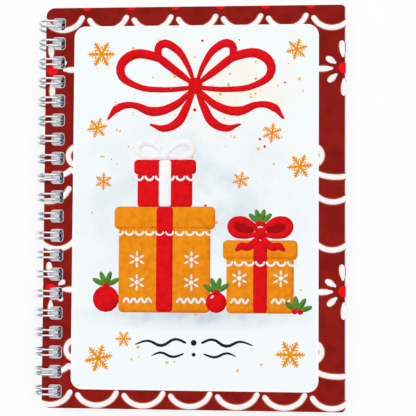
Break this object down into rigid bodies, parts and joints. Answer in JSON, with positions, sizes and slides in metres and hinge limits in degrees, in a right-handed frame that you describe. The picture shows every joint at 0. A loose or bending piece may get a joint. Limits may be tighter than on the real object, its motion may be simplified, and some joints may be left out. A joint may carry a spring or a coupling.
{
  "type": "gift card holder",
  "caption": "Wire-bound gift card book: printed holiday-style cover, card leaves with taped card pockets, all turning on one silver twin-loop wire spine.",
  "frame": {"origin": "bottom centre of the closed book's bounding box, lying on its back cover", "axes": "+X from the spine to the fore edge, +Y from the book's foot to its head, +Z out of the front cover"},
  "size_m": [0.1358, 0.1756, 0.0127],
  "materials": {
    "cover_board": "printed and laminated card, satin",
    "leaf_paper": "smooth uncoated card",
    "pocket_paper": "printed matt card",
    "foam_tape": "white foam",
    "wire": "bright coated wire"
  },
  "bodies": {
    "back": {"back_cover": "cover_board", "binding_wire": "wire", "back_upper_pocket": "pocket_paper", "back_upper_tape": "foam_tape", "back_lower_pocket": "pocket_paper", "back_lower_tape": "foam_tape"},
    "page_4": {"leaf_4": "leaf_paper", "leaf_4_upper_pocket": "pocket_paper", "leaf_4_upper_tape": "foam_tape", "leaf_4_lower_pocket": "pocket_paper", "leaf_4_lower_tape": "foam_tape"},
    "page_3": {"leaf_3": "leaf_paper", "leaf_3_upper_pocket": "pocket_paper", "leaf_3_upper_tape": "foam_tape", "leaf_3_lower_pocket": "pocket_paper", "leaf_3_lower_tape": "foam_tape"},
    "page_2": {"leaf_2": "leaf_paper", "leaf_2_upper_pocket": "pocket_paper", "leaf_2_upper_tape": "foam_tape", "leaf_2_lower_pocket": "pocket_paper", "leaf_2_lower_tape": "foam_tape"},
    "page_1": {"leaf_1": "leaf_paper", "leaf_1_upper_pocket": "pocket_paper", "leaf_1_upper_tape": "foam_tape", "leaf_1_lower_pocket": "pocket_paper", "leaf_1_lower_tape": "foam_tape"},
    "front": {"front_cover": "cover_board"}
  },
  "joints": [
    {"name": "page_4_turn", "type": "hinge", "parent": "back", "child": "page_4", "pos_m": [-0.06152, 0, 0.00635], "axis": [0, -1, 0], "range_deg": [0, 180]},
    {"name": "page_3_turn", "type": "hinge", "parent": "page_4", "child": "page_3", "pos_m": [-0.06152, 0, 0.00635], "axis": [0, -1, 0], "range_deg": [0, 180]},
    {"name": "page_2_turn", "type": "hinge", "parent": "page_3", "child": "page_2", "pos_m": [-0.06152, 0, 0.00635], "axis": [0, -1, 0], "range_deg": [0, 180]},
    {"name": "page_1_turn", "type": "hinge", "parent": "page_2", "child": "page_1", "pos_m": [-0.06152, 0, 0.00635], "axis": [0, -1, 0], "range_deg": [0, 180]},
    {"name": "front_turn", "type": "hinge", "parent": "page_1", "child": "front", "pos_m": [-0.06152, 0, 0.00635], "axis": [0, -1, 0], "range_deg": [0, 180]}
  ]
}
